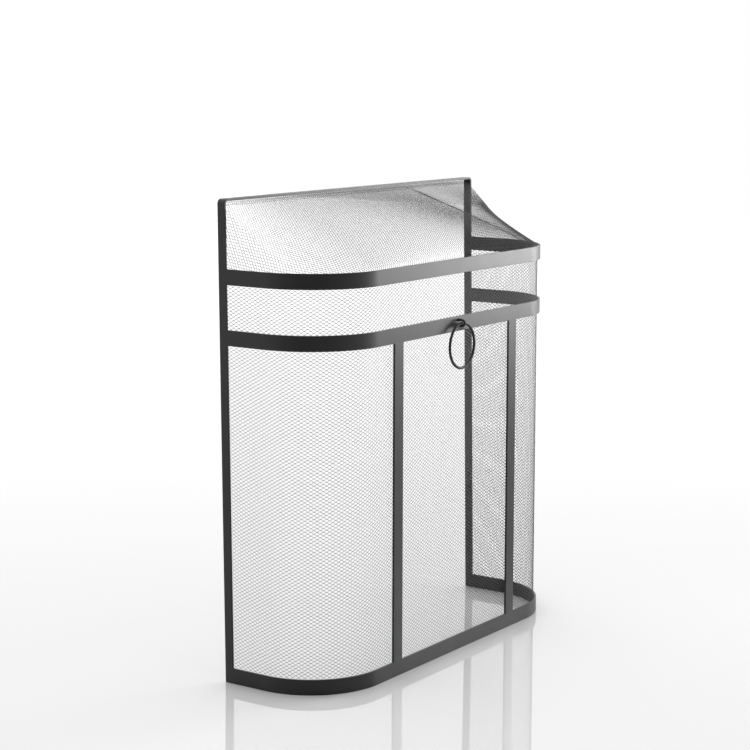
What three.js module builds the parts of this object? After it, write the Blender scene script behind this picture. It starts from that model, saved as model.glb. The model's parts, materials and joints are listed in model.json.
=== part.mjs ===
// Wrap-around spark guard for an open fire: a welded frame of flat steel bar, clad inside with
// expanded-metal mesh, with a mesh hood that runs back to the rear hoop and a ring handle in front.
// Millimetres, +Z up. X runs left to right, the open back faces +Y, the front faces -Y.
// The pieces are laid out from the foot of the posts' rear faces. The whole screen is then moved so
// that its origin is on the hearth, midway between the posts and midway from front to back.

import * as THREE from "three";

// Overall sizes
const width = 580;
const depth = 166;
const height = 622;
const cornerRadius = 103; // front corners of the bands, on their outer face
const hoopLean = 9; // how far the hoop stands back at its top
const hoopCornerRadius = 6;

// Bars
const bandWidth = 20;
const postWidth = 12;
const barThickness = 3;
const barEdge = 0.35; // small chamfer that rolling leaves on every long edge
const hoodHeight = 88; // from the top band's upper edge to the top of the hoop
const bandPitch = 77; // from the top band's upper edge to the middle band's
const uprightOffset = 140; // from the middle of the front to an upright's centre line

// Mesh, as a thin plain sheet of its outer shape
const meshThickness = 0.6;
const meshInset = 1; // air between a bar's inner face and the mesh
const meshLap = 8; // how far the mesh laps behind a band or a post
const hearthClearance = 1.5; // from the hearth to the wall mesh's cut edge

// Hood
const hoodCrown = 23; // how far the hood bows out midway along the front
const crownReach = 0.71; // share of the half length from the middle over which the crown dies away
const shoulder = 0.5; // under 1 puts the bow low down: the sheet rises steeply, then lies back
const hoodHip = 2; // how far it dips along the two hips
const hipPlace = 0.765; // share of the half length from the middle to a hip
const hipSpread = 0.15;
const hoodRise = 8; // where its upper edge starts up the posts, above the top band

// Ring handle and its eye
const ringOuterDiameter = 64;
const ringWire = 3.8;
const eyeWire = 3;
const eyeClearance = 0.45; // between the ring's wire and the eye, all round
const eyeDrop = 9; // from the top of the middle band to the ring's pivot
const eyeLeg = 6; // straight part of each leg, from the band to the turn

const gap = 0.3; // between welded pieces
const sheetClearance = 2; // between the two sheets' cut edges, behind the top band

// Fineness of the curves
const cornerSegments = 20;
const hoopCornerSegments = 8;
const hoodColumns = 72;
const wireSides = 12;
const eyeTurnSegments = 10;
const eyeSteps = 28;
const ringSegments = 64;

const steel = new THREE.MeshStandardMaterial({ color: 0x3a3b3c, roughness: 0.5, metalness: 0.3 });
const meshSteel = new THREE.MeshStandardMaterial({ color: 0x4a4b4c, roughness: 0.6, metalness: 0.3 });
const wireSteel = new THREE.MeshStandardMaterial({ color: 0x2b2c2d, roughness: 0.45, metalness: 0.3 });

const topBandTop = height - hoodHeight;
const middleBandTop = topBandTop - bandPitch;
const meshOffset = barThickness + meshInset;
const sideLength = depth - cornerRadius;

// How far back the hoop stands at a height.
function leanAt(z) {
  return (hoopLean * z) / height;
}

function namedMesh(name, geometry, material) {
  const mesh = new THREE.Mesh(geometry, material);
  mesh.name = name;
  return mesh;
}

// A flat outline given thickness, with its sharp edges chamfered.
function chamferedSlab(shape, thickness) {
  return new THREE.ExtrudeGeometry(shape, {
    depth: thickness - 2 * barEdge,
    bevelThickness: barEdge,
    bevelSize: barEdge,
    bevelOffset: -barEdge,
    bevelSegments: 1,
    curveSegments: cornerSegments,
  }).translate(0, 0, barEdge);
}

// The U that a band follows in plan, set in from the outer face, with its open ends at rearY.
function wrapPath(inset, rearY) {
  const side = width / 2 - inset;
  const front = -depth + inset;
  const radius = cornerRadius - inset;
  const path = new THREE.Path();
  path.moveTo(-side, rearY);
  path.lineTo(-side, front + radius);
  path.absarc(-side + radius, front + radius, radius, Math.PI, 1.5 * Math.PI, false);
  path.lineTo(side - radius, front);
  path.absarc(side - radius, front + radius, radius, 1.5 * Math.PI, 2 * Math.PI, false);
  path.lineTo(side, rearY);
  return path;
}

// The plan of a strip that follows the U, between two insets.
function wrapShape(outerInset, innerInset, rearY) {
  const outer = wrapPath(outerInset, rearY).getPoints(cornerSegments);
  const inner = wrapPath(innerInset, rearY).getPoints(cornerSegments);
  return new THREE.Shape([...outer, ...inner.reverse()]);
}

// Moves each point back with the lean of the hoop: fully at the back, not at all at the corners.
function leanBack(geometry) {
  const position = geometry.getAttribute("position");
  for (let i = 0; i < position.count; i += 1) {
    const share = THREE.MathUtils.clamp(1 + position.getY(i) / sideLength, 0, 1);
    position.setY(i, position.getY(i) + share * leanAt(position.getZ(i)));
  }
  geometry.computeVertexNormals();
  return geometry;
}

// The rear hoop: flat bar bent to an inverted U, its wide faces outwards.
function rearHoop() {
  const outline = (inset, radius) => {
    const side = width / 2 - inset;
    const top = height - inset;
    const path = new THREE.Path();
    path.moveTo(-side, 0);
    path.lineTo(-side, top - radius);
    path.absarc(-side + radius, top - radius, radius, Math.PI, 0.5 * Math.PI, true);
    path.lineTo(side - radius, top);
    path.absarc(side - radius, top - radius, radius, 0.5 * Math.PI, 0, true);
    path.lineTo(side, 0);
    return path.getPoints(hoopCornerSegments);
  };
  const outer = outline(0, hoopCornerRadius);
  const inner = outline(barThickness, hoopCornerRadius - barThickness);
  const shape = new THREE.Shape([...outer, ...inner.reverse()]);
  const geometry = chamferedSlab(shape, postWidth).rotateX(Math.PI / 2);
  const position = geometry.getAttribute("position");
  for (let i = 0; i < position.count; i += 1) {
    position.setY(i, position.getY(i) + leanAt(position.getZ(i)));
  }
  geometry.computeVertexNormals();
  return namedMesh("rear_hoop", geometry, steel);
}

// A band: flat bar bent round the front on its edge, its ends against the posts.
function band(name, top) {
  const bottom = top - bandWidth;
  const rearY = leanAt(bottom) - postWidth - gap;
  const geometry = chamferedSlab(wrapShape(0, barThickness, rearY), bandWidth);
  const mesh = namedMesh(name, geometry, steel);
  mesh.position.z = bottom;
  return mesh;
}

// An upright: flat bar between the bottom and the middle band, flush with their front faces.
function upright(name, x) {
  const bottom = bandWidth + gap;
  const top = middleBandTop - bandWidth - gap;
  const half = bandWidth / 2;
  const shape = new THREE.Shape();
  shape.moveTo(-half, bottom);
  shape.lineTo(half, bottom);
  shape.lineTo(half, top);
  shape.lineTo(-half, top);
  shape.closePath();
  const geometry = chamferedSlab(shape, barThickness).rotateX(Math.PI / 2);
  const mesh = namedMesh(name, geometry, steel);
  mesh.position.set(x, -depth + barThickness, 0);
  return mesh;
}

// The wall mesh: one sheet inside the bands, lapped behind the top band and the posts.
function wallMesh() {
  const bottom = hearthClearance;
  const top = topBandTop - bandWidth + meshLap;
  const shape = wrapShape(meshOffset, meshOffset + meshThickness, meshLap - postWidth);
  const geometry = new THREE.ExtrudeGeometry(shape, { depth: top - bottom, bevelEnabled: false });
  return namedMesh("wall_mesh", leanBack(geometry.translate(0, 0, bottom)), meshSteel);
}

// The hood's lower edge, along the inside of the top band, at a share of its length.
function hoodLowerEdge(path, share, z) {
  const point = path.getPointAt(share);
  const back = THREE.MathUtils.clamp(1 + point.y / sideLength, 0, 1);
  return new THREE.Vector3(point.x, point.y + back * leanAt(z), z);
}

// The hood's upper edge, up the left post, under the top bar and down the right post.
function hoodUpperEdge(path, share) {
  const point = path.getPointAt(share);
  return new THREE.Vector3(point.x, leanAt(point.y) + meshLap - postWidth, point.y);
}

function hoopInnerPath() {
  const side = width / 2 - meshOffset;
  const top = height - meshOffset;
  const start = topBandTop + hoodRise;
  const path = new THREE.CurvePath();
  const corners = [
    new THREE.Vector2(-side, start),
    new THREE.Vector2(-side, top),
    new THREE.Vector2(side, top),
    new THREE.Vector2(side, start),
  ];
  for (let i = 1; i < corners.length; i += 1) {
    path.add(new THREE.LineCurve(corners[i - 1], corners[i]));
  }
  return path;
}

// How far the hood stands out from a straight pull: a crown in the middle, a dip along each hip.
function hoodBow(share) {
  const fromMiddle = Math.abs(2 * share - 1);
  const crown = hoodCrown * Math.cos(0.5 * Math.PI * Math.min(1, fromMiddle / crownReach)) ** 2;
  const hip = hoodHip * Math.exp(-(((fromMiddle - hipPlace) / hipSpread) ** 2));
  return crown - hip;
}

// The hood's middle surface at a share of its length and a share of the way up.
function hoodPoint(lowerPath, upperPath, share, rise, skirt) {
  const low = hoodLowerEdge(lowerPath, share, topBandTop);
  if (rise <= 0) {
    return hoodLowerEdge(lowerPath, share, topBandTop + rise * skirt);
  }
  const high = hoodUpperEdge(upperPath, share);
  const nudge = 0.25 / hoodColumns;
  const before = Math.max(0, share - nudge);
  const after = Math.min(1, share + nudge);
  const along = hoodLowerEdge(lowerPath, after, topBandTop);
  along.sub(hoodLowerEdge(lowerPath, before, topBandTop));
  const pull = high.clone().sub(low);
  const outward = along.cross(pull).normalize();
  const bow = hoodBow(share) * Math.sin(Math.PI * rise ** shoulder);
  return low.addScaledVector(pull, rise).addScaledVector(outward, bow);
}

// The hood: a closed sheet between its lower edge, skirted behind the top band, and the hoop.
function hoodMesh() {
  const across = hoodColumns;
  const rises = [-1, 0, 0.015, 0.04, 0.08, 0.13, 0.2, 0.3, 0.42, 0.56, 0.72, 0.86, 1];
  const skirt = bandWidth - meshLap - sheetClearance;
  const lowerPath = wrapPath(meshOffset + meshThickness / 2, meshLap - postWidth);
  const upperPath = hoopInnerPath();
  const rows = rises.length;
  const middle = [];
  for (let i = 0; i <= across; i += 1) {
    for (const rise of rises) {
      middle.push(hoodPoint(lowerPath, upperPath, i / across, rise, skirt));
    }
  }
  const at = (i, j) => {
    const column = THREE.MathUtils.clamp(i, 0, across);
    const row = THREE.MathUtils.clamp(j, 0, rows - 1);
    return middle[column * rows + row];
  };
  const positions = [];
  for (const side of [1, -1]) {
    for (let i = 0; i <= across; i += 1) {
      for (let j = 0; j < rows; j += 1) {
        const along = at(i + 1, j).clone().sub(at(i - 1, j));
        const up = at(i, j + 1).clone().sub(at(i, j - 1));
        const normal = along.cross(up).normalize();
        const point = at(i, j).clone().addScaledVector(normal, (side * meshThickness) / 2);
        positions.push(point.x, point.y, point.z);
      }
    }
  }
  const index = [];
  const far = (across + 1) * rows;
  const outer = (i, j) => i * rows + j;
  const inner = (i, j) => far + i * rows + j;
  const quad = (a, b, c, d) => index.push(a, b, c, a, c, d);
  for (let i = 0; i < across; i += 1) {
    for (let j = 0; j < rows - 1; j += 1) {
      quad(outer(i, j), outer(i + 1, j), outer(i + 1, j + 1), outer(i, j + 1));
      quad(inner(i, j), inner(i, j + 1), inner(i + 1, j + 1), inner(i + 1, j));
    }
    quad(outer(i, 0), inner(i, 0), inner(i + 1, 0), outer(i + 1, 0));
    quad(outer(i + 1, rows - 1), inner(i + 1, rows - 1), inner(i, rows - 1), outer(i, rows - 1));
  }
  for (let j = 0; j < rows - 1; j += 1) {
    quad(outer(0, j), outer(0, j + 1), inner(0, j + 1), inner(0, j));
    quad(outer(across, j + 1), outer(across, j), inner(across, j), inner(across, j + 1));
  }
  const geometry = new THREE.BufferGeometry();
  geometry.setAttribute("position", new THREE.Float32BufferAttribute(positions, 3));
  geometry.setIndex(index);
  geometry.computeVertexNormals();
  return namedMesh("hood_mesh", geometry, meshSteel);
}

// Where the ring turns in its eye.
const eyeRadius = ringWire / 2 + eyeClearance + eyeWire / 2;
const pivot = new THREE.Vector3(0, -depth - eyeLeg, middleBandTop - eyeDrop);

// The eye: a wire staple whose two legs end on the band, one above the other.
function ringEye() {
  const legEnd = -depth - gap;
  const path = new THREE.CurvePath();
  path.add(new THREE.LineCurve3(
    new THREE.Vector3(0, legEnd, pivot.z + eyeRadius),
    new THREE.Vector3(0, pivot.y, pivot.z + eyeRadius),
  ));
  const turn = [];
  for (let i = 0; i <= eyeTurnSegments; i += 1) {
    const angle = (Math.PI * i) / eyeTurnSegments;
    turn.push(new THREE.Vector3(
      0,
      pivot.y - eyeRadius * Math.sin(angle),
      pivot.z + eyeRadius * Math.cos(angle),
    ));
  }
  for (let i = 1; i < turn.length; i += 1) {
    path.add(new THREE.LineCurve3(turn[i - 1], turn[i]));
  }
  path.add(new THREE.LineCurve3(
    new THREE.Vector3(0, pivot.y, pivot.z - eyeRadius),
    new THREE.Vector3(0, legEnd, pivot.z - eyeRadius),
  ));
  return namedMesh("ring_eye", wireAlong(path.getPoints(1)), wireSteel);
}

// A round wire swept through points that lie in one plane of constant X.
function wireAlong(points) {
  const route = new THREE.CatmullRomCurve3(points, false, "centripetal");
  const section = new THREE.Shape();
  section.absarc(0, 0, eyeWire / 2, 0, 2 * Math.PI, false);
  return new THREE.ExtrudeGeometry(section, {
    steps: eyeSteps,
    extrudePath: route,
    curveSegments: wireSides,
    bevelEnabled: false,
  });
}

// The ring: a closed wire ring, hanging straight down from its pivot.
function ringHandle() {
  const radius = (ringOuterDiameter - ringWire) / 2;
  const geometry = new THREE.TorusGeometry(radius, ringWire / 2, wireSides, ringSegments);
  const mesh = namedMesh("ring_handle", geometry.rotateX(Math.PI / 2), wireSteel);
  mesh.position.set(pivot.x, pivot.y, pivot.z - radius);
  return mesh;
}

const frame = new THREE.Group();
frame.add(rearHoop());
frame.add(band("top_band", topBandTop));
frame.add(band("middle_band", middleBandTop));
frame.add(band("bottom_band", bandWidth));
frame.add(upright("left_upright", -uprightOffset));
frame.add(upright("right_upright", uprightOffset));

const cladding = new THREE.Group();
cladding.add(wallMesh());
cladding.add(hoodMesh());

const handle = new THREE.Group();
handle.add(ringEye());
handle.add(ringHandle());

const fireplaceScreen = new THREE.Group();
fireplaceScreen.add(frame, cladding, handle);
const frontReach = -pivot.y + eyeRadius + eyeWire / 2;
fireplaceScreen.position.y = (frontReach - hoopLean) / 2;

export default fireplaceScreen;
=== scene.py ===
# Wrap-around spark guard for an open fire: a welded flat-bar frame, expanded-mesh walls and hood,
# and a ring handle. The sections follow the guard as it is put together: the setting first, then
# the bars, the welds, the two mesh sheets and the handle.

import json
import math

import bmesh
import bpy
import numpy as np
from mathutils import Matrix, Vector


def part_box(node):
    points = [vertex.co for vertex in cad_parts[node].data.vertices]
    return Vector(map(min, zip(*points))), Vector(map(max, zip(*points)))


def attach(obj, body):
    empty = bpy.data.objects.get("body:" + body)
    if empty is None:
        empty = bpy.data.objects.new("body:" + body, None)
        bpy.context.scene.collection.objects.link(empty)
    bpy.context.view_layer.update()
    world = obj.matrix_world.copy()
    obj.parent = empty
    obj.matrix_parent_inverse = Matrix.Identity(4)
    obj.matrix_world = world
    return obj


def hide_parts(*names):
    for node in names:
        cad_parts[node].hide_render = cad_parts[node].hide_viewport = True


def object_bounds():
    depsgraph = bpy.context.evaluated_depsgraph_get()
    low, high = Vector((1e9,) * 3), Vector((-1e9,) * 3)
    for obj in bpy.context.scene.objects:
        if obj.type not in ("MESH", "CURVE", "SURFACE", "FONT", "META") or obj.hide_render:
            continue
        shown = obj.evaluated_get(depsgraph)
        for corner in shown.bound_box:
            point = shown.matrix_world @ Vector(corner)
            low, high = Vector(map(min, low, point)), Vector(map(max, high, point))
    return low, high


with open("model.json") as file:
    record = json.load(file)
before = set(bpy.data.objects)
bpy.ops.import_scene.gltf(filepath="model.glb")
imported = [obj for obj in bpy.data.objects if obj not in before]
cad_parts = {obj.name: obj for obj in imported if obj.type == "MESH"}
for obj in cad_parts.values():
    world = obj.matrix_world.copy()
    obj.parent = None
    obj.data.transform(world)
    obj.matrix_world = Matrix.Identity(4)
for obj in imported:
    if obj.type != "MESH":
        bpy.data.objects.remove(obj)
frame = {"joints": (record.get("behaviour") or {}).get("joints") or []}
cad_low, cad_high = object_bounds()

# ---------------------------------------------------------------------------------------------
# Camera. A long lens a little above the guard's top, off its left front corner and nearly level.
# The lens is shifted down, so that it need not be tipped far and the posts stay upright.

camera_place = Vector((-2.2228, -1.4913, 0.7977))
camera_heading = math.radians(55.2)
camera_dip = math.radians(6.93)
camera_roll = math.radians(0.17)

level = math.cos(camera_dip)
ahead = Vector((
    math.sin(camera_heading) * level,
    math.cos(camera_heading) * level,
    -math.sin(camera_dip),
))
right = Vector((math.cos(camera_heading), -math.sin(camera_heading), 0))
above = right.cross(ahead)
rolled_right = right * math.cos(camera_roll) + above * math.sin(camera_roll)
rolled_above = above * math.cos(camera_roll) - right * math.sin(camera_roll)
axes = Matrix((rolled_right, rolled_above, -ahead)).transposed()

bpy.ops.object.select_all(action="DESELECT")
bpy.ops.object.camera_add()
camera = bpy.context.object
camera.matrix_world = Matrix.Translation(camera_place) @ axes.to_4x4()
camera.data.sensor_width = 36
camera.data.lens = 95.7
camera.data.shift_y = -0.1
camera.data.clip_start = 0.05
camera.data.clip_end = 60
bpy.context.scene.camera = camera
bpy.context.scene.view_settings.view_transform = "Standard"


# ---------------------------------------------------------------------------------------------
# Floor: a board of white cast acrylic, laid flat under the guard. It is polished, so that it
# mirrors the guard's foot softly.


def linear(code):
    """The linear colour of an sRGB hex code."""
    shares = [int(code[i:i + 2], 16) / 255 for i in (1, 3, 5)]
    curve = [s / 12.92 if s <= 0.04045 else ((s + 0.055) / 1.055) ** 2.4 for s in shares]
    return (*curve, 1)


def add_node(tree, kind, settings, sockets):
    """Adds a node, sets its properties, and fills its inputs with values or links."""
    node = tree.nodes.new(kind)
    for name, value in settings.items():
        setattr(node, name, value)
    for name, value in sockets.items():
        if isinstance(value, bpy.types.NodeSocket):
            tree.links.new(value, node.inputs[name])
        else:
            node.inputs[name].default_value = value
    return node


def new_material(name):
    """An empty node material and its tree."""
    material = bpy.data.materials.new(name)
    material.use_nodes = True
    material.node_tree.nodes.clear()
    return material, material.node_tree


def acrylic_board():
    """Cast acrylic, polished: white, a sharp gloss under a breath of handling haze."""
    material, tree = new_material("acrylic_board")
    place = add_node(tree, "ShaderNodeTexCoord", {}, {}).outputs["Object"]
    haze = add_node(tree, "ShaderNodeTexNoise", {}, {"Vector": place, "Scale": 3.0, "Detail": 2.0})
    rough = add_node(tree, "ShaderNodeMapRange", {}, {
        "Value": haze.outputs["Fac"],
        "To Min": 0.005,
        "To Max": 0.02,
    })
    shader = add_node(tree, "ShaderNodeBsdfPrincipled", {}, {
        "Base Color": linear("#D4D4D4"),
        "Roughness": rough.outputs["Result"],
        "IOR": 1.49,
    })
    add_node(tree, "ShaderNodeOutputMaterial", {}, {"Surface": shader.outputs["BSDF"]})
    return material


board_side = 14.0
bpy.ops.object.select_all(action="DESELECT")
bpy.ops.mesh.primitive_plane_add(size=board_side)
board = bpy.context.object
board.name = "board"
board.data.materials.append(acrylic_board())


# ---------------------------------------------------------------------------------------------
# Light. A white studio that is darker on the camera's side, so the black coat keeps its depth,
# with a softbox to the right of the front that rakes along the bands.

away = (-right.y, right.x, 0.35)  # from the camera to the far side, and up a little

world = bpy.data.worlds.new("studio")
bpy.context.scene.world = world
world.use_nodes = True
world.node_tree.nodes.clear()
studio = world.node_tree
direction = add_node(studio, "ShaderNodeTexCoord", {}, {}).outputs["Generated"]
behind = add_node(studio, "ShaderNodeVectorMath", {"operation": "DOT_PRODUCT"}, {
    0: direction,
    1: away,
})
backdrop = add_node(studio, "ShaderNodeMapRange", {"interpolation_type": "SMOOTHSTEP"}, {
    "Value": behind.outputs["Value"],
    "From Min": -0.6,
    "From Max": 0.95,
    "To Min": 0.8,
    "To Max": 1.5,
})
operator = add_node(studio, "ShaderNodeMapRange", {"interpolation_type": "SMOOTHSTEP"}, {
    "Value": behind.outputs["Value"],
    "From Min": -0.95,
    "From Max": -0.4,
    "To Min": 0.0,
    "To Max": 1.0,
})
brightness = add_node(studio, "ShaderNodeMath", {"operation": "MULTIPLY"}, {
    0: backdrop.outputs["Result"],
    1: operator.outputs["Result"],
})
seen = add_node(studio, "ShaderNodeLightPath", {}, {}).outputs["Is Camera Ray"]
lit = add_node(studio, "ShaderNodeBackground", {}, {
    "Color": linear("#FFFFFF"),
    "Strength": brightness.outputs["Value"],
})
plain = add_node(studio, "ShaderNodeBackground", {}, {"Color": linear("#FFFFFF"), "Strength": 1.0})
mixed = add_node(studio, "ShaderNodeMixShader", {}, {
    0: seen,
    1: lit.outputs["Background"],
    2: plain.outputs["Background"],
})
add_node(studio, "ShaderNodeOutputWorld", {}, {"Surface": mixed.outputs["Shader"]})

softbox_place = Vector((1.3, -0.62, 0.68))
softbox_target = Vector((0.0, -0.3, 0.62))
bpy.ops.object.light_add(type="AREA", location=softbox_place)
softbox = bpy.context.object
softbox.name = "side_softbox"
softbox.rotation_euler = (softbox_target - softbox_place).to_track_quat("-Z", "Y").to_euler()
softbox.data.shape = "RECTANGLE"
softbox.data.size = 0.46
softbox.data.size_y = 0.7
softbox.data.energy = 2.8
softbox.data.spread = math.radians(60)


# ---------------------------------------------------------------------------------------------
# Rear hoop: one length of 12 x 3 mm mild steel flat bar, bent to an upside-down U with tight
# corners and leaning back a little. All the bars are shot-blasted and powder coated black.


def powder_coat(name, colour, roughness):
    """Baked polyester powder coat: satin black with the faint orange peel of the melted powder."""
    peel_pitch = 0.0022  # metres between the swells of the peel
    cloud_pitch = 0.035  # slow change in film thickness and gloss
    material, tree = new_material(name)
    place = add_node(tree, "ShaderNodeTexCoord", {}, {}).outputs["Object"]
    peel = add_node(tree, "ShaderNodeTexNoise", {}, {
        "Vector": place,
        "Scale": 1 / peel_pitch,
        "Detail": 2.0,
    })
    cloud = add_node(tree, "ShaderNodeTexNoise", {}, {
        "Vector": place,
        "Scale": 1 / cloud_pitch,
        "Detail": 3.0,
    })
    tone = add_node(tree, "ShaderNodeMix", {"data_type": "RGBA"}, {
        "Factor": cloud.outputs["Fac"],
        6: linear(colour[0]),
        7: linear(colour[1]),
    })
    gloss = add_node(tree, "ShaderNodeMapRange", {}, {
        "Value": cloud.outputs["Fac"],
        "To Min": roughness - 0.05,
        "To Max": roughness + 0.05,
    })
    bump = add_node(tree, "ShaderNodeBump", {}, {
        "Height": peel.outputs["Fac"],
        "Strength": 0.25,
        "Distance": 0.00006,
    })
    shader = add_node(tree, "ShaderNodeBsdfPrincipled", {}, {
        "Base Color": tone.outputs[2],
        "Roughness": gloss.outputs["Result"],
        "Normal": bump.outputs["Normal"],
        "IOR": 1.5,
    })
    add_node(tree, "ShaderNodeOutputMaterial", {}, {"Surface": shader.outputs["BSDF"]})
    return material


frame_coat = powder_coat("powder_coat_satin_black", ("#121213", "#171718"), 0.42)
bar_edge = 0.00045  # rolled edge of the bar, under its coat


def start_bar(name, place, turn, section):
    """Adds a bar's cut end as a rectangle, in edit mode with its face selected."""
    bpy.ops.object.select_all(action="DESELECT")
    bpy.ops.mesh.primitive_plane_add(size=1, location=place, rotation=turn)
    bar = bpy.context.object
    bar.name = name
    bar.data.name = name
    bar.scale = (section[0], section[1], 1)
    bpy.ops.object.transform_apply(location=True, rotation=True, scale=True)
    bpy.ops.object.mode_set(mode="EDIT")
    bpy.ops.mesh.select_mode(type="FACE")
    bpy.ops.mesh.select_all(action="SELECT")
    return bar


def draw_out(way):
    """Lengthens the bar by a straight run."""
    bpy.ops.mesh.extrude_region_move(TRANSFORM_OT_translate={"value": way})


def bend_round(centre, axis, angle, steps):
    """Bends the bar's next stretch round a centre, counter-clockwise seen against the axis."""
    bpy.ops.mesh.spin(steps=steps, angle=-angle, center=centre, axis=axis)


def close_piece(piece, material, edge):
    """Merges the mesh, turns it outwards, rounds a bar's edges, shades it and gives it its coat.

    A bar is shaded flat right up to its rounded edges. Wire, which has no edge, is shaded round.
    """
    smooth_angle = 12 if edge else 35
    bpy.ops.mesh.select_all(action="SELECT")
    bpy.ops.mesh.remove_doubles(threshold=0.000002)
    bpy.ops.mesh.normals_make_consistent(inside=False)
    bpy.ops.object.mode_set(mode="OBJECT")
    if edge:
        bevel = piece.modifiers.new("rolled_edge", "BEVEL")
        bevel.width = edge
        bevel.segments = 3
        bevel.limit_method = "ANGLE"
        bevel.angle_limit = math.radians(40)
        bpy.ops.object.modifier_apply(modifier=bevel.name)
    bpy.ops.object.shade_smooth_by_angle(angle=math.radians(smooth_angle))
    piece.data.materials.append(material)


hoop_low, hoop_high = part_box("rear_hoop")
post_width = 0.012
bar_thickness = 0.003
hoop_corner = 0.006
hoop_steps = 8
foot_back = hoop_low.y + post_width
hoop_lean = hoop_high.y - foot_back
post_height = hoop_high.z - hoop_corner
post_lean = hoop_lean * post_height / hoop_high.z
top_run = hoop_high.x - hoop_low.x - 2 * hoop_corner

hoop = start_bar(
    "rear_hoop_bar",
    (hoop_low.x + bar_thickness / 2, hoop_low.y + post_width / 2, 0),
    (0, 0, 0),
    (bar_thickness, post_width),
)
draw_out((0, post_lean, post_height))
bend_round((hoop_low.x + hoop_corner, 0, post_height), (0, 1, 0), math.pi / 2, hoop_steps)
draw_out((top_run, 0, 0))
bend_round((hoop_high.x - hoop_corner, 0, post_height), (0, 1, 0), math.pi / 2, hoop_steps)
draw_out((0, -post_lean, -post_height))
close_piece(hoop, frame_coat, bar_edge)
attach(hoop, "screen")
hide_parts("rear_hoop")


# ---------------------------------------------------------------------------------------------
# Bands: three lengths of 20 x 3 mm flat bar that stand on edge, each bent the easy way to the same
# U with 103 mm corners, and butt-welded flush to the fronts of the posts.

band_corner = 0.103
band_width = 0.02
corner_steps = 40
band_names = ("top_band", "middle_band", "bottom_band")


def lean_at(height):
    """How far back the hoop stands at a height."""
    return hoop_lean * height / hoop_high.z


for name in band_names:
    low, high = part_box(name)
    post_front = hoop_low.y + lean_at(low.z)
    straight = post_front - (low.y + band_corner)
    across = high.x - low.x - 2 * band_corner
    bar = start_bar(
        name + "_bar",
        (low.x + bar_thickness / 2, post_front, (low.z + high.z) / 2),
        (math.pi / 2, 0, 0),
        (bar_thickness, band_width),
    )
    draw_out((0, -straight, 0))
    corner_y = low.y + band_corner
    bend_round((low.x + band_corner, corner_y, 0), (0, 0, 1), math.pi / 2, corner_steps)
    draw_out((across, 0, 0))
    bend_round((high.x - band_corner, corner_y, 0), (0, 0, 1), math.pi / 2, corner_steps)
    draw_out((0, straight, 0))
    close_piece(bar, frame_coat, bar_edge)
    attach(bar, "screen")
    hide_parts(name)


# ---------------------------------------------------------------------------------------------
# Uprights: two straight lengths of the same bar between the bottom and the middle band, square
# cut and butt-welded with their faces flush.

upright_names = ("left_upright", "right_upright")

for name in upright_names:
    low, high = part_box(name)
    bar = start_bar(
        name + "_bar",
        ((low.x + high.x) / 2, (low.y + high.y) / 2, low.z),
        (0, 0, 0),
        (band_width, bar_thickness),
    )
    draw_out((0, 0, high.z - low.z))
    close_piece(bar, frame_coat, bar_edge)
    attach(bar, "screen")
    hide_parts(name)


# ---------------------------------------------------------------------------------------------
# Weld beads: short runs of MIG weld across each butt joint on its inside, dressed low so that the
# mesh lies over them, and coated with the bars. Each is a chain of overlapping ripples.

bead_length = band_width * 0.9
bead_reach = 0.0007
bead_half_width = 0.0016
ripples = 7
ripple_valley = 0.78  # size between two ripples, as a share of the size at their crests


def weld_bead(place, along, out):
    """A rippled bead centred on a place, running along one axis and flattened along another."""
    bpy.ops.object.select_all(action="DESELECT")
    bpy.ops.mesh.primitive_cylinder_add(vertices=12, radius=1, depth=1, end_fill_type="NGON")
    bead = bpy.context.object
    bead.name = "bead"
    bpy.ops.object.mode_set(mode="EDIT")
    bpy.ops.mesh.select_mode(type="EDGE")
    mesh = bmesh.from_edit_mesh(bead.data)
    for edge in mesh.edges:
        edge.select_set(abs(edge.verts[0].co.z - edge.verts[1].co.z) > 0.5)
    bpy.ops.mesh.subdivide(number_cuts=2 * ripples - 1)
    bpy.ops.mesh.select_mode(type="VERT")
    mesh = bmesh.from_edit_mesh(bead.data)
    for vert in mesh.verts:
        ring = round((vert.co.z + 0.5) * 2 * ripples)
        vert.select_set(ring % 2 == 0)
    mesh.select_flush(False)
    bpy.ops.transform.resize(
        value=(ripple_valley, ripple_valley, 1), center_override=(0, 0, 0)
    )
    bpy.ops.object.mode_set(mode="OBJECT")
    across = Vector(along).cross(Vector(out))
    turn = Matrix((
        Vector(out) * bead_reach,
        across * bead_half_width,
        Vector(along) * bead_length,
    )).transposed()
    bead.data.transform(Matrix.Translation(place) @ turn.to_4x4())
    bpy.ops.object.mode_set(mode="EDIT")
    bpy.ops.mesh.select_all(action="SELECT")
    bpy.ops.mesh.normals_make_consistent(inside=False)
    bpy.ops.object.mode_set(mode="OBJECT")
    bpy.ops.object.shade_smooth()
    return bead


def joined(parts, name):
    """Makes the parts one piece and names it."""
    bpy.ops.object.select_all(action="DESELECT")
    for part in parts:
        part.select_set(True)
    bpy.context.view_layer.objects.active = parts[0]
    bpy.ops.object.join()
    piece = bpy.context.object
    piece.name = name
    return piece


beads = []
for name in band_names:
    low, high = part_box(name)
    z = (low.z + high.z) / 2
    for side, x in ((-1, low.x + bar_thickness), (1, high.x - bar_thickness)):
        place = (x, hoop_low.y + lean_at(z), z)
        beads.append(weld_bead(place, (0, 0, 1), (-side, 0, 0)))
for name in upright_names:
    low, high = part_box(name)
    for z in (low.z, high.z):
        place = ((low.x + high.x) / 2, high.y, z)
        beads.append(weld_bead(place, (1, 0, 0), (0, 1, 0)))
welds = joined(beads, "frame_welds")
welds.data.materials.append(frame_coat)
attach(welds, "screen")


# ---------------------------------------------------------------------------------------------
# Dressed joints: the outside of the same butt joints, where the bars' rounded ends are filled
# with weld metal and ground flush. Coated with the bars, so that no line shows.

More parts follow.
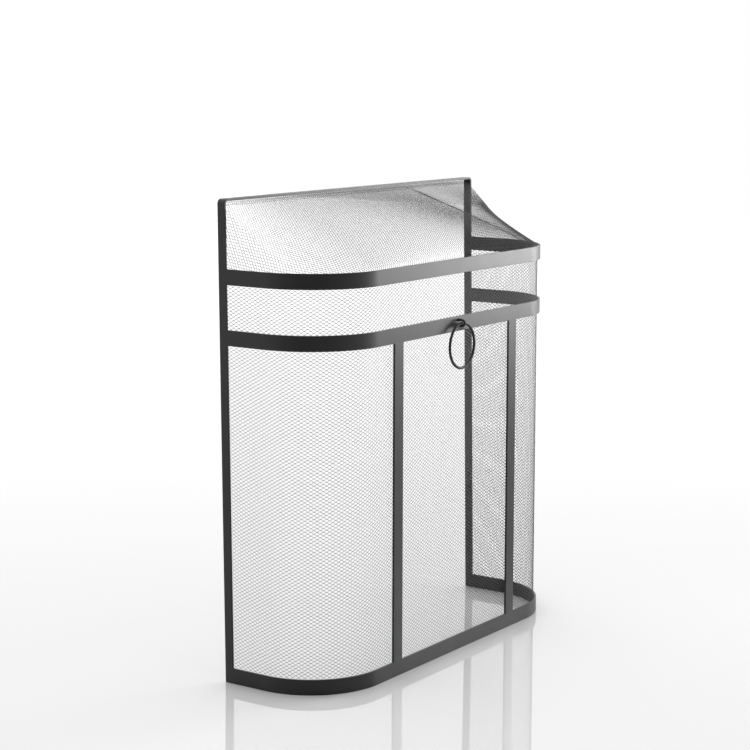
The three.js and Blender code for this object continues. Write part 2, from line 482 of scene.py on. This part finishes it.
skin = 0.00002  # the fill stays this far under the bars' faces
joint_half = 0.0007
fill_width = band_width - 2 * bar_edge
fill_depth = bar_thickness - 2 * skin


def joint_fill(place, size):
    """A block of ground weld metal centred on a place."""
    bpy.ops.mesh.primitive_cube_add(size=1, location=place)
    block = bpy.context.object
    block.name = "joint_fill"
    block.scale = size
    bpy.ops.object.transform_apply(location=True, rotation=True, scale=True)
    return block


fills = []
for name in band_names:
    low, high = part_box(name)
    z = (low.z + high.z) / 2
    for x in (low.x + bar_thickness / 2, high.x - bar_thickness / 2):
        place = (x, hoop_low.y + lean_at(z), z)
        fills.append(joint_fill(place, (fill_depth, 2 * joint_half, fill_width)))
for name in upright_names:
    low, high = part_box(name)
    for z in (low.z, high.z):
        place = ((low.x + high.x) / 2, (low.y + high.y) / 2, z)
        fills.append(joint_fill(place, (fill_width, fill_depth, 2 * joint_half)))
dressed = joined(fills, "dressed_joints")
dressed.data.materials.append(frame_coat)
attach(dressed, "screen")


# ---------------------------------------------------------------------------------------------
# Wall mesh: one sheet of fine expanded steel, slit and stretched to 7.7 x 4.7 mm diamonds, bent
# to the U of the bands and tacked inside them. Painted matt black. Made flat, then wrapped.

long_way = 0.0077
short_way = 0.0047
bond_length = 0.0017  # the solid knot where two strands meet
bond_taper = 0.0001
merge_distance = 0.00001
wall_strand = 0.00036
wall_gauge = 0.00024
wall_tilt = -0.00012  # the strands' lower edges stand out, as the slitting knife leaves them


def matt_paint():
    """Sprayed matt black paint on sheared strands, greyed in random patches where it runs thin."""
    grain_pitch = 0.0009
    blush_pitch = 0.03
    material, tree = new_material("matt_black_paint")
    place = add_node(tree, "ShaderNodeTexCoord", {}, {}).outputs["Object"]
    grain = add_node(tree, "ShaderNodeTexNoise", {}, {
        "Vector": place,
        "Scale": 1 / grain_pitch,
        "Detail": 2.0,
    })
    blush = add_node(tree, "ShaderNodeTexNoise", {}, {
        "Vector": place,
        "Scale": 1 / blush_pitch,
        "Detail": 2.0,
    })
    share = add_node(tree, "ShaderNodeMath", {"operation": "MULTIPLY"}, {
        0: grain.outputs["Fac"],
        1: blush.outputs["Fac"],
    })
    tone = add_node(tree, "ShaderNodeMix", {"data_type": "RGBA"}, {
        "Factor": share.outputs["Value"],
        6: linear("#1C1C1D"),
        7: linear("#3A3A3B"),
    })
    gloss = add_node(tree, "ShaderNodeMapRange", {}, {
        "Value": grain.outputs["Fac"],
        "To Min": 0.38,
        "To Max": 0.55,
    })
    shader = add_node(tree, "ShaderNodeBsdfPrincipled", {}, {
        "Base Color": tone.outputs[2],
        "Roughness": gloss.outputs["Result"],
        "IOR": 1.5,
    })
    add_node(tree, "ShaderNodeOutputMaterial", {}, {"Surface": shader.outputs["BSDF"]})
    return material


mesh_paint = matt_paint()


def expanded_sheet(name, counts, long_pitch, short_pitch, strand, tilt):
    """A flat expanded sheet, its long way along X and its corner bond at the origin."""
    strand_width, strand_gauge = strand
    half_bond = bond_length / 2
    run = long_pitch / 2 - bond_length + bond_taper
    rise = short_pitch / 2 - strand_width
    bpy.ops.object.select_all(action="DESELECT")
    bpy.ops.mesh.primitive_circle_add(vertices=6, radius=half_bond, fill_type="NGON")
    sheet = bpy.context.object
    sheet.name = name
    sheet.data.name = name
    bpy.ops.object.mode_set(mode="EDIT")
    mesh = bmesh.from_edit_mesh(sheet.data)
    for vert in mesh.verts:
        turned = Vector((vert.co.y, -vert.co.x, 0))
        if abs(turned.x) > 0.9 * half_bond:
            vert.co = Vector((math.copysign(half_bond, turned.x), 0, 0))
        else:
            way = math.copysign(1, turned.y)
            vert.co = Vector((
                math.copysign(half_bond - bond_taper, turned.x),
                way * strand_width,
                way * tilt,
            ))
    bmesh.update_edit_mesh(sheet.data)
    for sign_x in (-1, 1):
        for sign_y in (-1, 1):
            bpy.ops.mesh.select_mode(type="EDGE")
            bpy.ops.mesh.select_all(action="DESELECT")
            mesh = bmesh.from_edit_mesh(sheet.data)
            for edge in mesh.edges:
                middle = (edge.verts[0].co + edge.verts[1].co) / 2
                slanting = abs(edge.verts[0].co.y - edge.verts[1].co.y) > 0.5 * strand_width
                inner = abs(middle.x) < half_bond
                edge.select_set(
                    slanting and inner and middle.x * sign_x > 0 and middle.y * sign_y > 0
                )
            bpy.ops.mesh.extrude_region_move(TRANSFORM_OT_translate={"value": (
                sign_x * run / 2,
                sign_y * rise / 2,
                -sign_y * tilt / 2,
            )})
    bpy.ops.mesh.select_all(action="SELECT")
    bpy.ops.mesh.duplicate_move(TRANSFORM_OT_translate={"value": (
        long_pitch / 2,
        short_pitch / 2,
        0,
    )})
    bpy.ops.mesh.select_all(action="SELECT")
    bpy.ops.mesh.remove_doubles(threshold=merge_distance)
    bpy.ops.mesh.normals_make_consistent(inside=False)
    bpy.ops.object.mode_set(mode="OBJECT")
    for count, offset in zip(counts, ((long_pitch, 0, 0), (0, short_pitch, 0))):
        array = sheet.modifiers.new("slits", "ARRAY")
        array.count = count
        array.use_relative_offset = False
        array.use_constant_offset = True
        array.constant_offset_displace = offset
        array.use_merge_vertices = True
        array.merge_threshold = merge_distance
        bpy.ops.object.modifier_apply(modifier=array.name)
    gauge = sheet.modifiers.new("gauge", "SOLIDIFY")
    gauge.thickness = strand_gauge
    gauge.offset = 0
    bpy.ops.object.modifier_apply(modifier=gauge.name)
    return sheet


def copied(sheet, name):
    """A copy of the flat sheet, ready to be wrapped."""
    bpy.ops.object.select_all(action="DESELECT")
    sheet.select_set(True)
    bpy.context.view_layer.objects.active = sheet
    bpy.ops.object.duplicate()
    piece = bpy.context.object
    piece.name = name
    piece.data.name = name
    return piece


def points_of(piece):
    """The piece's vertices as an array."""
    flat = np.empty(3 * len(piece.data.vertices))
    piece.data.vertices.foreach_get("co", flat)
    return flat.reshape(-1, 3)


def set_points(piece, places):
    """Moves the piece's vertices to new places."""
    piece.data.vertices.foreach_set("co", places.astype(np.float32).ravel())
    piece.data.update()


top_low, top_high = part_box("top_band")
wall_low, wall_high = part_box("wall_mesh")
half_sheet = 0.0003  # to the middle of the solid sheet that the mesh stands in for
rear_lap = 0.008  # how far the sheets lap behind the posts' fronts
mesh_inset = wall_low.x - cad_low.x + half_sheet
mesh_rear = hoop_low.y + rear_lap
straight_end = top_low.y + band_corner
u_length = 2 * (mesh_rear - straight_end) + math.pi * (band_corner - mesh_inset)
u_length += 2 * (cad_high.x - band_corner)


def round_the_front(distance):
    """Place and outward direction in plan, at distances along the U from its left rear end."""
    radius = band_corner - mesh_inset
    run = mesh_rear - straight_end
    from_end = np.minimum(distance, u_length - distance)
    hand = np.where(distance > u_length / 2, 1, -1)
    turn = np.clip((from_end - run) / radius, 0, math.pi / 2)
    past_corner = np.clip(from_end - run - radius * math.pi / 2, 0, None)
    x = cad_high.x - band_corner + radius * np.cos(turn) - past_corner
    y = straight_end + np.clip(run - from_end, 0, None) - radius * np.sin(turn)
    return np.stack([x * hand, y], -1), np.stack([np.cos(turn) * hand, -np.sin(turn)], -1)


def lean_with_hoop(y, z):
    """How far back the sheet leans: with the posts at the rear, not at all at the corners."""
    share = np.clip(1 - (foot_back - y) / (foot_back - straight_end), 0, 1)
    return share * lean_at(z)


wall_parts = ("left", "left_corner", "front_left", "front_right", "right_corner", "right")
wall_columns = round(u_length / long_way / len(wall_parts))
wall_rows = round((wall_high.z - wall_low.z) / short_way)
column_pitch = u_length / (wall_columns * len(wall_parts))
row_pitch = (wall_high.z - wall_low.z) / wall_rows

flat_part = expanded_sheet(
    "flat_part",
    (wall_columns, wall_rows),
    column_pitch,
    row_pitch,
    (wall_strand, wall_gauge),
    wall_tilt,
)
flat_places = points_of(flat_part)
for i, part in enumerate(wall_parts):
    wall = copied(flat_part, "wall_mesh_" + part)
    distance = flat_places[:, 0] + column_pitch * (0.25 + i * wall_columns)
    plan, out = round_the_front(distance)
    z = wall_low.z + row_pitch / 4 + flat_places[:, 1]
    plan = plan + out * flat_places[:, 2:3]
    wrapped = np.stack([plan[:, 0], plan[:, 1] + lean_with_hoop(plan[:, 1], z), z], -1)
    set_points(wall, wrapped)
    bpy.ops.object.shade_flat()
    wall.data.materials.append(mesh_paint)
    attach(wall, "screen")
    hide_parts("wall_mesh")
bpy.data.objects.remove(flat_part)


# ---------------------------------------------------------------------------------------------
# Mesh tacks: resistance welds that hold the wall sheet to the bands and the posts. Each is a
# flattened pip of melted strand, painted with the mesh.

tack_radius = 0.0017
tack_reach = 0.0005
tacks_round = 17
tack_margin = 0.02  # from the sheet's end to the first tack, as a share of the way round
tacks_up = 9
tack_low = 0.04
tack_high = 0.49
tack_edge = 0.003  # from the sheet's rear edge


def tack(x, y, z, turn):
    """A pip at a place, flat across the direction that it is turned to."""
    bpy.ops.mesh.primitive_uv_sphere_add(
        segments=10, ring_count=6, radius=1, location=(x, y, z), rotation=(0, 0, turn)
    )
    pip = bpy.context.object
    pip.name = "tack"
    pip.scale = (tack_reach, tack_radius, tack_radius)
    bpy.ops.object.transform_apply(location=True, rotation=True, scale=True)
    bpy.ops.object.shade_smooth()
    return pip


tacks = []
for name in band_names:
    low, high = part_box(name)
    z = (low.z + high.z) / 2
    shares = np.linspace(tack_margin, 1 - tack_margin, tacks_round)
    for (x, y), (out_x, out_y) in zip(*round_the_front(shares * u_length)):
        tacks.append(tack(x, y + float(lean_with_hoop(y, z)), z, math.atan2(out_y, out_x)))
for z in np.linspace(tack_low, tack_high, tacks_up):
    for (x, _), (out_x, _) in zip(*round_the_front(np.array([0, u_length]))):
        tacks.append(tack(x, mesh_rear - tack_edge + lean_at(z), z, math.atan2(0, out_x)))
pips = joined(tacks, "mesh_tacks")
pips.data.materials.append(mesh_paint)
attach(pips, "screen")


# ---------------------------------------------------------------------------------------------
# Hood mesh: a second sheet of the same metal turned a quarter, its long way up the slope. It rises
# from inside the top band, bows forward in the middle and is drawn back to the hoop, bent over a
# hip at each end. The flat cut is worked out by unrolling the bent shape, then laid on it.

hood_gap = 0.001  # between the sheet and the hoop round it
hood_rise = 0.008  # the sheet starts back from the hoop's ends this far above the band
hood_crown = 0.023  # how far the middle bows out
crown_reach = 0.71  # places along the hood are shares of its half length
hood_hip = 0.002
hip_place = 0.765
hip_spread = 0.15
shoulder = 0.5  # power that makes the bow rise fast at the band and the hoop
crease_depth = 0.004  # a fold left by hand at the right, from the hoop down to the band's corner
crease_fold = 0.03  # its left flank is the steeper one
crease_spread = 0.12
crease_low = 0.5
crease_high = 0.36
turned_in = 0.006  # margin folded inwards along the hoop, over the cut edge
tucked_in = 0.011  # margin bent down behind the top band


def hood_edges(share):
    """The hood's lower edge inside the top band and its upper edge round the hoop."""
    plan, _ = round_the_front(share * u_length)
    z = np.full(len(share), top_high.z)
    lower = np.stack([plan[:, 0], plan[:, 1] + lean_with_hoop(plan[:, 1], z), z], -1)
    side = cad_high.x - bar_thickness - hood_gap
    top = cad_high.z - bar_thickness - hood_gap
    climb = top - top_high.z - hood_rise
    distance = share * (2 * climb + 2 * side)
    x = np.clip(distance - climb, 0, 2 * side) - side
    z = top - np.clip(climb - distance, 0, None) - np.clip(distance - climb - 2 * side, 0, None)
    upper = np.stack([x, mesh_rear + lean_at(z), z], -1)
    return lower, upper


def on_hood(share, up):
    """Points on the bent hood, at shares of its length and of the way up, and its outward way."""
    lower, upper = hood_edges(share)
    nudge = 0.004
    before, _ = hood_edges(np.clip(share - nudge, 0, 1))
    after, _ = hood_edges(np.clip(share + nudge, 0, 1))
    pull = upper - lower
    out = np.cross(after - before, pull)
    out /= np.linalg.norm(out, axis=1)[:, None]
    off_middle = np.abs(2 * share - 1)
    crown = hood_crown * np.cos(math.pi / 2 * np.clip(off_middle / crown_reach, 0, 1)) ** 2
    hip = hood_hip * np.exp(-(((off_middle - hip_place) / hip_spread) ** 2))
    bow = (crown - hip) * np.sin(math.pi * np.clip(up, 0, 1) ** shoulder)
    from_crease = 2 * share - 1 - crease_low - (crease_high - crease_low) * up
    crease_width = np.where(from_crease > 0, crease_spread, crease_fold)
    dent = crease_depth * np.exp(-((from_crease / crease_width) ** 2))
    bow -= dent * np.sin(math.pi * np.clip(up, 0, 1))
    return lower + pull * up[:, None] + out * bow[:, None], out


def unrolled(rulings):
    """The flat places of the hood's two edges, strip by strip outwards from the middle."""
    lower, upper = hood_edges(np.linspace(0, 1, rulings + 1))
    middle = rulings // 2
    flat_low = np.zeros((rulings + 1, 2))
    flat_high = np.zeros((rulings + 1, 2))
    flat_high[middle] = 0, np.linalg.norm(upper[middle] - lower[middle])

    def laid_down(a, b, c, flat_a, flat_b, hand):
        """Where c comes to lie beside the flat edge from a to b."""
        edge = np.linalg.norm(b - a)
        from_a = np.linalg.norm(c - a)
        from_b = np.linalg.norm(c - b)
        along = (from_a ** 2 - from_b ** 2 + edge ** 2) / (2 * edge)
        off = math.sqrt(max(from_a ** 2 - along ** 2, 0))
        way = (flat_b - flat_a) / np.linalg.norm(flat_b - flat_a)
        return flat_a + way * along + np.array([way[1], -way[0]]) * off * hand

    for hand in (1, -1):
        last = middle
        while 0 <= last + hand <= rulings:
            i = last + hand
            flat_low[i] = laid_down(
                lower[last], upper[last], lower[i], flat_low[last], flat_high[last], hand
            )
            flat_high[i] = laid_down(
                upper[last], lower[i], upper[i], flat_high[last], flat_low[i], -hand
            )
            last = i
    return flat_low, flat_high


ruling_count = 400
off_the_sheet = -9  # the way up, for places that no ruling crosses
flat_low, flat_high = unrolled(ruling_count)
ruling = flat_high - flat_low
edge_way = np.gradient(flat_low, axis=0)
edge_cosine = np.abs(edge_way[:, 0]) / np.linalg.norm(edge_way, axis=1)


def bent_share(places):
    """Share of the length and share of the way up, for places on the flat cut."""
    side = (
        ruling[None, :, 0] * (places[:, None, 1] - flat_low[None, :, 1])
        - ruling[None, :, 1] * (places[:, None, 0] - flat_low[None, :, 0])
    )
    crossed = (side[:, :-1] > 0) != (side[:, 1:] > 0)
    far = np.abs(np.arange(ruling_count) - ruling_count / 2)[None, :]
    nearest = np.where(crossed, far, 1e9).argmin(1)
    found = crossed.any(1)
    rows = np.arange(len(places))
    before, after = side[rows, nearest], side[rows, nearest + 1]
    part = np.where(found, before / np.where(before == after, 1, before - after), 0)
    share = (nearest + part) / ruling_count
    low = flat_low[nearest] + (flat_low[nearest + 1] - flat_low[nearest]) * part[:, None]
    high = flat_high[nearest] + (flat_high[nearest + 1] - flat_high[nearest]) * part[:, None]
    span = high - low
    up = ((places - low) * span).sum(1) / (span ** 2).sum(1)
    up[~found] = off_the_sheet
    return share, up


hood_long_way = 0.0073
hood_short_way = 0.0043
hood_strand = 0.00029
hood_gauge = 0.00032
hood_tilt = 0.00012  # every strand faces a little to the left
hood_start = -0.01  # the first row of the flat sheet, below the lower edge's middle
skirt_limit = -0.5  # the way up, below which a place is past the tucked margin
top_limit = cad_high.z - bar_thickness - 0.0015  # the upper edge is along the top bar above this
batch = 20000  # places worked out at a time
hood_half = float(max(flat_high[:, 0].max(), flat_low[:, 0].max()))
hood_reach = float(max(flat_high[:, 1].max(), flat_low[:, 1].max()))
hood_columns = math.ceil(hood_half / hood_short_way)
hood_rows = math.ceil((hood_reach + band_width) / hood_long_way)

flat_hood = expanded_sheet(
    "flat_hood",
    (hood_rows, hood_columns),
    hood_long_way,
    hood_short_way,
    (hood_strand, hood_gauge),
    hood_tilt,
)
flat_places = points_of(flat_hood)
for part, start in (("left", -hood_columns * hood_short_way), ("right", 0)):
    hood = copied(flat_hood, "hood_mesh_" + part)
    across = flat_places[:, 1] + start
    slope = flat_places[:, 0] + hood_start
    flat = np.stack([across, slope], -1)
    share = np.empty(len(flat))
    up = np.empty(len(flat))
    for first in range(0, len(flat), batch):
        stop = first + batch
        share[first:stop], up[first:stop] = bent_share(flat[first:stop])
    bent, out = on_hood(np.clip(share, 0, 1), np.clip(up, 0, 1))
    skirt = slope - np.interp(across, flat_low[:, 0], flat_low[:, 1])
    skirt = np.clip(skirt * np.interp(across, flat_low[:, 0], edge_cosine), None, 0)
    inside = (up > 0) & (up < 1)
    lower, upper = hood_edges(np.clip(share, 0, 1))
    extra = np.where(up >= 1, (up - 1) * np.linalg.norm(upper - lower, axis=1), 0)
    folded = (extra > 0) & (extra < turned_in)
    along_top = upper[:, 2] > top_limit
    bent[:, 2] -= np.where(folded & along_top, extra, 0)
    bent[:, 0] -= np.where(folded & ~along_top, extra * np.sign(upper[:, 0]), 0)
    tucked = (up <= 0) & (up > skirt_limit) & (skirt > -tucked_in)
    bent[:, 2] += np.where(tucked, skirt, 0)
    bent += out * flat_places[:, 2:3]
    set_points(hood, bent)
    kept = inside | tucked | folded
    mesh = bmesh.new()
    mesh.from_mesh(hood.data)
    mesh.verts.ensure_lookup_table()
    loose = [vert for vert, keep in zip(mesh.verts, kept) if not keep]
    bmesh.ops.delete(mesh, geom=loose, context="VERTS")
    mesh.to_mesh(hood.data)
    mesh.free()
    bpy.ops.object.shade_flat()
    hood.data.materials.append(mesh_paint)
    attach(hood, "screen")
    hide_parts("hood_mesh")
bpy.data.objects.remove(flat_hood)


# ---------------------------------------------------------------------------------------------
# Ring eye: a staple of 3 mm wire, bent by hand over a mandrel and welded by both legs to the
# middle band, one above the other. Coated like the ring: the frame's black, painted darker as
# shade.

# The frame's black powder coat again, rougher, with its colour painted darker as shade, for the
# ring, its eye and their fillets.
shaded_ring_coat = powder_coat("powder_coat_black_painted_shade", ("#0B0B0C", "#101011"), 0.6)
eye_wire = 0.003
eye_steps = 20
wire_sides = 16
joint = frame["joints"][0]
pivot = Vector(joint["pos_m"])
eye_low, eye_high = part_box("ring_eye")
eye_radius = (eye_high.z - eye_low.z - eye_wire) / 2
band_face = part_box("middle_band")[0].y
leg = band_face - pivot.y


def start_wire(name, place, turn, radius):
    """Adds a wire's cut end as a disc, in edit mode with its face selected."""
    bpy.ops.object.select_all(action="DESELECT")
    bpy.ops.mesh.primitive_circle_add(
        vertices=wire_sides, radius=radius, fill_type="NGON", location=place, rotation=turn
    )
    wire = bpy.context.object
    wire.name = name
    wire.data.name = name
    bpy.ops.object.transform_apply(location=True, rotation=True, scale=True)
    bpy.ops.object.mode_set(mode="EDIT")
    bpy.ops.mesh.select_mode(type="FACE")
    bpy.ops.mesh.select_all(action="SELECT")
    return wire


eye = start_wire(
    "ring_eye_staple",
    (pivot.x, band_face, pivot.z + eye_radius),
    (math.pi / 2, 0, 0),
    eye_wire / 2,
)
draw_out((0, -leg, 0))
bend_round(pivot, (1, 0, 0), math.pi, eye_steps)
draw_out((0, leg, 0))
close_piece(eye, shaded_ring_coat, 0)
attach(eye, "screen")
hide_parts("ring_eye")


# ---------------------------------------------------------------------------------------------
# Eye fillets: the weld metal round each leg of the staple, run on by hand where the leg meets the
# band's face. Coated with the staple.

fillet_reach = 0.0014
fillet_foot = eye_wire * 0.95
fillet_neck = eye_wire * 0.52
fillet_edge = 0.0003
cones = []
for height in (pivot.z - eye_radius, pivot.z + eye_radius):
    bpy.ops.mesh.primitive_cone_add(
        vertices=24,
        radius1=fillet_foot,
        radius2=fillet_neck,
        depth=fillet_reach,
        location=(pivot.x, band_face - fillet_reach / 2, height),
        rotation=(math.pi / 2, 0, 0),
    )
    bpy.ops.object.transform_apply(location=True, rotation=True, scale=True)
    cones.append(bpy.context.object)
fillets = joined(cones, "eye_weld_fillets")
bpy.ops.object.mode_set(mode="EDIT")
close_piece(fillets, shaded_ring_coat, fillet_edge)
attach(fillets, "screen")


# ---------------------------------------------------------------------------------------------
# Ring handle: a ring of 3.8 mm wire rolled round and butt-welded, which leaves a slight swelling.
# It hangs loose through the eye.

ring_low, ring_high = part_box("ring_handle")
ring_wire = ring_high.y - ring_low.y
ring_radius = (ring_high.z - ring_low.z - ring_wire) / 2
ring_centre = (ring_low + ring_high) / 2
ring_steps = 96
weld_turn = math.radians(-128)
weld_swell = 0.09  # share added to the wire's radius
weld_spread = 0.05  # radians round the ring
bpy.ops.object.select_all(action="DESELECT")
bpy.ops.mesh.primitive_torus_add(
    location=ring_centre,
    rotation=(math.pi / 2, 0, 0),
    major_radius=ring_radius,
    minor_radius=ring_wire / 2,
    major_segments=ring_steps,
    minor_segments=wire_sides,
)
ring = bpy.context.object
ring.name = "ring_handle_wire"
ring.data.name = ring.name
bpy.ops.object.transform_apply(location=True, rotation=True, scale=True)
bpy.ops.object.mode_set(mode="EDIT")
close_piece(ring, shaded_ring_coat, 0)
places = points_of(ring)
from_centre = places - np.array(ring_centre)
turn = np.arctan2(from_centre[:, 2], from_centre[:, 0])
core = np.stack([np.cos(turn), 0 * turn, np.sin(turn)], -1) * ring_radius
swelling = 1 + weld_swell * np.exp(-(((turn - weld_turn) / weld_spread) ** 2))
set_points(ring, np.array(ring_centre) + core + (from_centre - core) * swelling[:, None])
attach(ring, "ring")
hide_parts("ring_handle")
